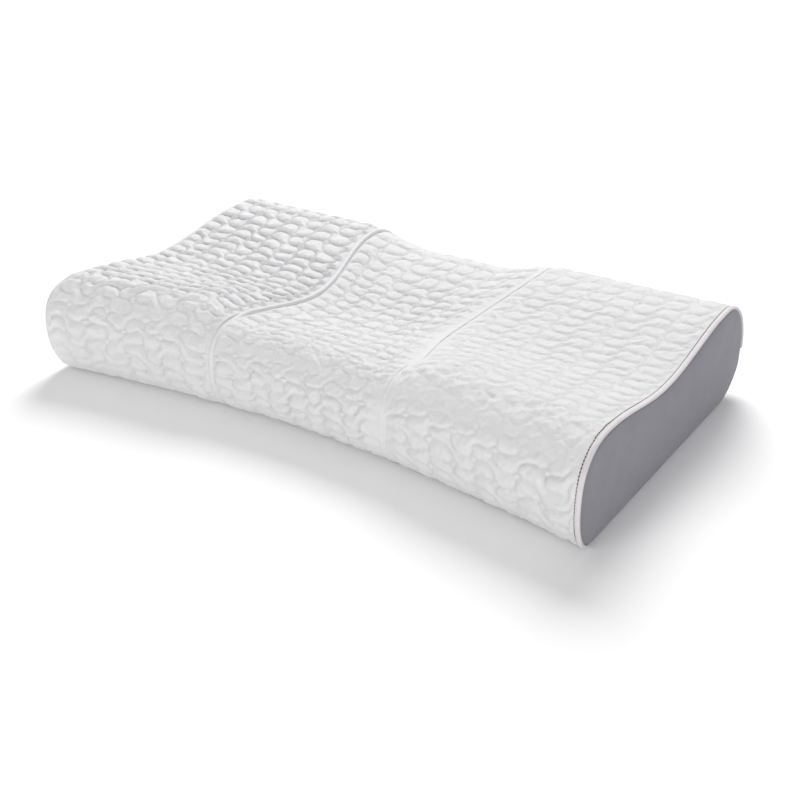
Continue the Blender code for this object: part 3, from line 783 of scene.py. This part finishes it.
def woven_tape(label, finish):
    low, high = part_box(f"zip_tape_{label}")

    def place(u, v):
        x = mix(low.x, high.x, u)
        y = (low.y + high.y) / 2 + TAPE_WAVE * uneven("tape", x, v)
        return np.stack([x, y, mix(low.z, high.z, v)], -1)

    made = cloth_grid(260, 5, place)
    bmesh.ops.recalc_face_normals(made, faces=made.faces)
    piece = add_piece(f"woven_tape_{label}", made, finish, f"zip_tape_{label}")
    thicken(piece, high.y - low.y, offset=0.0)


def coil_teeth(label, finish):
    low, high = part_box(f"zip_coil_{label}")
    middle, half = (low + high) / 2, (high - low) / 2
    made = bmesh.new()
    size = Matrix.Diagonal((COIL_PITCH * TOOTH_SHARE, half.y, half.z, 1.0))
    for step in range(int((high.x - low.x) / COIL_PITCH)):
        place = Matrix.Translation((low.x + COIL_PITCH * (step + 0.5), middle.y, middle.z))
        bmesh.ops.create_uvsphere(made, u_segments=6, v_segments=4, radius=1.0,
                                  matrix=place @ size)
    add_piece(f"coil_teeth_{label}", made, finish, f"zip_coil_{label}")


def zip_end_cloth(label, finish):
    low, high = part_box(f"zip_end_tab_{label}")
    made = bmesh.new()
    bmesh.ops.create_cube(made, size=1.0)
    for vert in made.verts:
        for axis in range(3):
            vert.co[axis] = (low[axis] + high[axis]) / 2 + vert.co[axis] * (high[axis] - low[axis])
    bmesh.ops.bevel(made, geom=made.edges[:], offset=END_CLOTH_BEVEL, segments=3, profile=0.5,
                    affect="EDGES", material=-1)
    piece = add_piece(f"zip_end_cloth_{label}", made, finish, f"zip_end_tab_{label}")


def blank_label(finish):
    low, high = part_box("care_label")

    def place(u, v):
        x, z = mix(low.x, high.x, u), mix(high.z, low.z, v)
        curl = LABEL_CURL * v**2 * (1 + LABEL_SWAY * np.sin(u * LABEL_SWAY_TURN))
        return np.stack([x, np.full_like(u, low.y) + curl, z], -1)

    piece = add_piece("blank_label", cloth_grid(40, 12, place), finish, "care_label")
    thicken(piece, LABEL_THICKNESS)


def zip_parts(tape, teeth, metal, knit, satin):
    for label in ("upper", "lower"):
        woven_tape(label, tape)
        coil_teeth(label, teeth)
    for label in ("left", "right"):
        zip_end_cloth(label, knit)
    for node in ("zip_top_stop", "zip_bottom_stop", "zip_slider", "zip_pull_tab"):
        finish_node(node, metal)
    blank_label(satin)


# ---------------------------------------------------------------- finishes
# Each finish's two colours, which its flecks mix; the quilt's darker white is painted shade in its
# creases, and the foam's darker cream is painted shade in its pores.
QUILT_WHITE_AND_CREASE_SHADE = (0.73, 0.73, 0.733), (0.52, 0.52, 0.53)
KNIT_WHITE = (0.76, 0.76, 0.763), (0.69, 0.69, 0.70)
LINER_WHITE = (0.76, 0.76, 0.77), (0.68, 0.68, 0.70)
LABEL_WHITE = (0.80, 0.80, 0.80), (0.74, 0.74, 0.74)
END_GREY = (0.182, 0.178, 0.203), (0.286, 0.280, 0.318)
BAND_PALE = (0.72, 0.685, 0.71), (0.63, 0.595, 0.62)
THREAD_BROWN = (0.13, 0.055, 0.045), (0.22, 0.11, 0.09)
TAPE_WHITE = (0.78, 0.78, 0.80), (0.66, 0.66, 0.69)
COIL_WHITE = (0.76, 0.76, 0.78), (0.68, 0.68, 0.71)
NICKEL = (0.66, 0.66, 0.68), (0.50, 0.50, 0.52)
FOAM_CREAM = (0.72, 0.66, 0.47), (0.82, 0.77, 0.60)
FLOOR_PALE = (0.92, 0.92, 0.92), (0.93, 0.93, 0.93)
FLOOR_GLOW = (0.10, 0.10, 0.10), (1.0, 1.0, 1.0)
# Spacings of ribs, loops and twists, in metres, and how the heights and tones are shared out.
GREY_WALE, GREY_COURSE = 0.0011, 0.0008
SATIN_RIB = 0.0011
THREAD_TWIST = 0.0006
TAPE_WARP, TAPE_WEFT = 0.0009, 0.0007
PORE_SCALE = 420.0
FUZZ_SCALE, FUZZ_SHARE, LOOP_SHARE = 2600.0, 0.8, 0.5
# Share of the quilt's colour mix that is painted crease shade; the rest is random tone.
CREASE_SHADE_SHARE = 0.90
CREASE_GATHERS, GATHERS = 2.0, 1.6
FLOOR_GLOSS = 0.1
GLOW_STRENGTH, GLOW_SLOPE, GLOW_START = 0.35, 0.9, 0.45


class Reading:
    """A number that changes over a surface, written as an expression."""

    def __init__(self, finish, socket):
        self.finish = finish
        self.socket = socket

    def joined(self, operation, first, second):
        return self.finish.add("ShaderNodeMath", {"operation": operation}, {0: first, 1: second})

    def __add__(self, other):
        return self.joined("ADD", self, other)

    def __radd__(self, other):
        return self.joined("ADD", other, self)

    def __sub__(self, other):
        return self.joined("SUBTRACT", self, other)

    def __rsub__(self, other):
        return self.joined("SUBTRACT", other, self)

    def __mul__(self, other):
        return self.joined("MULTIPLY", self, other)

    def __rmul__(self, other):
        return self.joined("MULTIPLY", other, self)

    def __pow__(self, other):
        return self.joined("POWER", self, other)

    def ribs(self, pitch):
        """Ribs from -1 to 1 that repeat every pitch metres."""
        return self.joined("SINE", self * (2 * math.pi / pitch), 0.0)


class Finish:
    """A node material, built up node by node around its shader."""

    def __init__(self, name, roughness=0.9, metallic=0.0, sheen=0.0, sheen_roughness=0.5):
        self.material = bpy.data.materials.new(name)
        self.material.use_nodes = True
        self.tree = self.material.node_tree
        self.shader = self.tree.nodes["Principled BSDF"]
        self.shader.inputs["Roughness"].default_value = roughness
        self.shader.inputs["Metallic"].default_value = metallic
        self.shader.inputs["Sheen Weight"].default_value = sheen
        self.shader.inputs["Sheen Roughness"].default_value = sheen_roughness
        self.places = self.add("ShaderNodeTexCoord", output="Object")

    def add(self, kind, settings=None, sockets=None, output=0):
        """Add a node with its settings, then the values or links of its sockets."""
        node = self.tree.nodes.new(kind)
        for key, value in (settings or {}).items():
            setattr(node, key, value)
        for key, value in (sockets or {}).items():
            if isinstance(value, Reading):
                self.tree.links.new(value.socket, node.inputs[key])
            else:
                node.inputs[key].default_value = value
        return Reading(self, node.outputs[output])

    def noise(self, scale, detail=2.0, stretch=(1, 1, 1)):
        spread = self.add("ShaderNodeVectorMath", {"operation": "MULTIPLY"},
                          {0: self.places, 1: stretch})
        return self.add("ShaderNodeTexNoise", None,
                        {"Vector": spread, "Scale": scale, "Detail": detail}, output="Fac")

    def axes(self):
        node = self.tree.nodes.new("ShaderNodeSeparateXYZ")
        self.tree.links.new(self.places.socket, node.inputs[0])
        return [Reading(self, node.outputs[axis]) for axis in range(3)]

    # The crease depth on the quilt, read for its painted crease shade and its gathers.
    def crease(self):
        return self.add("ShaderNodeAttribute", {"attribute_name": "crease"}, output="Fac")

    def colour(self, low, high, share):
        """Colour from low to high as share goes from 0 to 1."""
        return self.add("ShaderNodeMix", {"data_type": "RGBA"},
                        {0: share, 6: (*low, 1.0), 7: (*high, 1.0)}, output=2)

    def feed(self, socket, reading):
        self.tree.links.new(reading.socket, self.shader.inputs[socket])

    def fleck(self, colours, scale, detail=2.0):
        """Flecks of a finish's two colours."""
        self.feed("Base Color", self.colour(*colours, self.noise(scale, detail)))

    def mottle(self, scale, least, swing, detail=2.0, stretch=(1, 1, 1)):
        """Roughness that strays from least by up to swing."""
        self.feed("Roughness", self.noise(scale, detail, stretch) * swing + least)

    def bump(self, height, strength, distance):
        self.feed("Normal", self.add("ShaderNodeBump", None, {
            "Height": height, "Strength": strength, "Distance": distance}, output="Normal"))


def knit_height(made, wale, course):
    """Fine loops of a knit, wales one way and courses the other, under a fuzz of fibres."""
    x, y, z = made.axes()
    fuzz = made.noise(FUZZ_SCALE, detail=1.0) * FUZZ_SHARE
    return x.ribs(wale) * (y + z).ribs(course) * LOOP_SHARE + fuzz


def quilt_finish():
    """White stretch knit, darkened in the creases by painted shade and more gathered there."""
    made = Finish("quilt_white", roughness=0.92, sheen=0.12, sheen_roughness=0.6)
    # Painted shade darkens the white in the creases, over a little random tone.
    crease_shade_and_tone = made.crease() * CREASE_SHADE_SHARE + made.noise(60.0, detail=3.0) * (1 - CREASE_SHADE_SHARE)
    made.feed("Base Color", made.colour(*QUILT_WHITE_AND_CREASE_SHADE, crease_shade_and_tone))
    made.mottle(300.0, least=0.85, swing=0.10)
    gathers = made.noise(480.0, detail=3.0) * (made.crease() * CREASE_GATHERS + GATHERS)
    made.bump(knit_height(made, wale=0.0011, course=0.0009) + gathers,
              strength=0.6, distance=0.00026)
    return made.material


def knit_finish(name, colours, wale, course):
    made = Finish(name, roughness=0.9, sheen=0.10)
    made.fleck(colours, 180.0, detail=3.0)
    made.mottle(400.0, least=0.80, swing=0.12)
    made.bump(knit_height(made, wale, course), strength=0.5, distance=0.0002)
    return made.material


def grey_finish():
    """Dark grey knit whose fine flecks run up the end panel."""
    made = Finish("grey_knit", roughness=0.85, sheen=0.25, sheen_roughness=0.45)
    fine = made.noise(900.0, stretch=(1, 1, 0.35))
    made.feed("Base Color", made.colour(*END_GREY, fine * 0.5 + made.noise(45.0, detail=3.0) * 0.5))
    made.mottle(500.0, least=0.78, swing=0.12)
    _, y, z = made.axes()
    loops = y.ribs(GREY_WALE) * 0.7 + z.ribs(GREY_COURSE) * 0.4
    made.bump(loops + made.noise(1500.0), strength=0.5, distance=0.00022)
    return made.material


def band_finish():
    """Satin with fine ribs that slant over the band."""
    made = Finish("band_satin", roughness=0.7, sheen=0.2)
    made.fleck(BAND_PALE, 150.0, detail=3.0)
    made.mottle(300.0, least=0.60, swing=0.15)
    x, y, z = made.axes()
    ribs = (y + z * 0.8 + x * 0.9).ribs(SATIN_RIB)
    made.bump(ribs * 0.6 + made.noise(900.0) * 0.6, strength=0.5, distance=0.0002)
    return made.material


def thread_finish():
    """Brown thread with the twist of its strands."""
    made = Finish("stitch_thread", roughness=0.6, sheen=0.2)
    made.fleck(THREAD_BROWN, 700.0)
    x, y, z = made.axes()
    made.bump((x + y * 1.3 + z * 1.3).ribs(THREAD_TWIST), strength=0.6, distance=0.0001)
    return made.material


def tape_finish():
    made = Finish("woven_tape", roughness=0.85, sheen=0.1)
    made.fleck(TAPE_WHITE, 400.0)
    x, _, z = made.axes()
    made.bump(x.ribs(TAPE_WARP) * z.ribs(TAPE_WEFT), strength=0.6, distance=0.0001)
    return made.material


def teeth_finish():
    made = Finish("coil_nylon", roughness=0.4)
    made.fleck(COIL_WHITE, 250.0)
    made.mottle(500.0, least=0.32, swing=0.15)
    return made.material


def metal_finish():
    """Nickel brushed along its height."""
    brushed = (1, 1, 0.1)
    made = Finish("zip_nickel", roughness=0.3, metallic=1.0)
    made.fleck(NICKEL, 220.0, detail=3.0)
    made.mottle(1800.0, least=0.22, swing=0.22, stretch=brushed)
    made.bump(made.noise(1500.0, stretch=brushed), strength=0.15, distance=0.0001)
    return made.material


def foam_finish():
    made = Finish("memory_foam", roughness=0.95)
    pores = made.add("ShaderNodeTexVoronoi", None, {"Vector": made.places, "Scale": PORE_SCALE},
                     output="Distance")
    # The pits of the pores are painted a darker cream: painted shade.
    made.feed("Base Color", made.colour(*FOAM_CREAM, pores))
    made.bump(pores, strength=0.6, distance=0.0006)
    return made.material


def floor_finish():
    """A pale floor that glows more the further it is from the pillow."""
    made = Finish("studio_floor", roughness=0.9)
    made.shader.inputs["Specular IOR Level"].default_value = FLOOR_GLOSS
    made.shader.inputs["Emission Strength"].default_value = GLOW_STRENGTH
    x, y, _ = made.axes()
    reach = (x * x + y * y) ** 0.5
    made.feed("Emission Color", made.colour(*FLOOR_GLOW, reach * GLOW_SLOPE - GLOW_START))
    made.fleck(FLOOR_PALE, 2.0)
    return made.material


# ---------------------------------------------------------------- studio
FLOOR_HALF = 9.0
FLOOR_Z = -0.0006
WORLD_COLOUR = (0.975, 0.972, 0.99, 1.0)
WORLD_STRENGTH = 0.36
# Each light: its name, its place, what it points at, its width and its power.
LIGHTS = (
    ("key", (-0.80, 1.92, 2.05), (0.0, 0.0, 0.05), 1.8, 86.0),
    ("top", (0.0, 0.2, 2.6), (0.0, 0.0, 0.05), 2.6, 9.0),
    ("front", (-0.4, -2.3, 0.7), (0.0, -0.1, 0.05), 1.2, 18.0),
    ("side", (2.3, -1.5, 0.5), (0.25, 0.0, 0.05), 1.5, 20.0),
)
LENS = 52.07
SENSOR_WIDTH = 36.0
CAMERA_PLACE = (0.593, -0.863, 0.521)
CAMERA_TURN = (math.radians(62.56), 0.0, math.radians(33.88))
NEAREST_SEEN = 0.05


def studio():
    made = bmesh.new()
    bmesh.ops.create_grid(made, x_segments=2, y_segments=2, size=FLOOR_HALF)
    mesh = bpy.data.meshes.new("floor")
    made.to_mesh(mesh)
    made.free()
    mesh.materials.append(floor_finish())
    floor = bpy.data.objects.new("floor", mesh)
    floor.location.z = FLOOR_Z
    bpy.context.scene.collection.objects.link(floor)

    world = bpy.data.worlds.new("studio")
    world.use_nodes = True
    backdrop = world.node_tree.nodes["Background"]
    backdrop.inputs["Color"].default_value = WORLD_COLOUR
    backdrop.inputs["Strength"].default_value = WORLD_STRENGTH
    bpy.context.scene.world = world

    for name, place, aim, size, power in LIGHTS:
        light = bpy.data.lights.new(name, "AREA")
        light.shape = "DISK"
        light.size = size
        light.energy = power
        lamp = bpy.data.objects.new(name, light)
        lamp.location = place
        lamp.rotation_euler = (Vector(aim) - Vector(place)).to_track_quat("-Z", "Y").to_euler()
        bpy.context.scene.collection.objects.link(lamp)

    camera = bpy.data.objects.new("camera", bpy.data.cameras.new("camera"))
    camera.data.lens = LENS
    camera.data.sensor_width = SENSOR_WIDTH
    camera.data.clip_start = NEAREST_SEEN
    camera.location = CAMERA_PLACE
    camera.rotation_euler = CAMERA_TURN
    bpy.context.scene.collection.objects.link(camera)
    bpy.context.scene.camera = camera
    bpy.context.scene.view_settings.view_transform = "Standard"


def main():
    quilt = quilt_finish()
    knit = knit_finish("white_knit", KNIT_WHITE, wale=0.0010, course=0.0008)
    quilted_panel("left", QUILT_ENDS[0], -SEAM_X - PANEL_GAP, quilt)
    quilted_panel("centre", -SEAM_X + PANEL_GAP, SEAM_X - PANEL_GAP, quilt)
    quilted_panel("right", SEAM_X + PANEL_GAP, QUILT_ENDS[1], quilt)
    seam_welts(knit)
    rolled_bands(band_finish())
    edge_stitches(thread_finish())
    end_covers(grey_finish())
    underside(knit)
    satin = knit_finish("label_satin", LABEL_WHITE, wale=0.0006, course=0.0005)
    zip_parts(tape_finish(), teeth_finish(), metal_finish(), knit, satin)
    finish_node("foam_core", foam_finish())
    liner = knit_finish("liner_knit", LINER_WHITE, wale=0.0014, course=0.0012)
    for node in ("liner_wrap", "liner_end_left", "liner_end_right"):
        finish_node(node, liner)
    studio()


main()
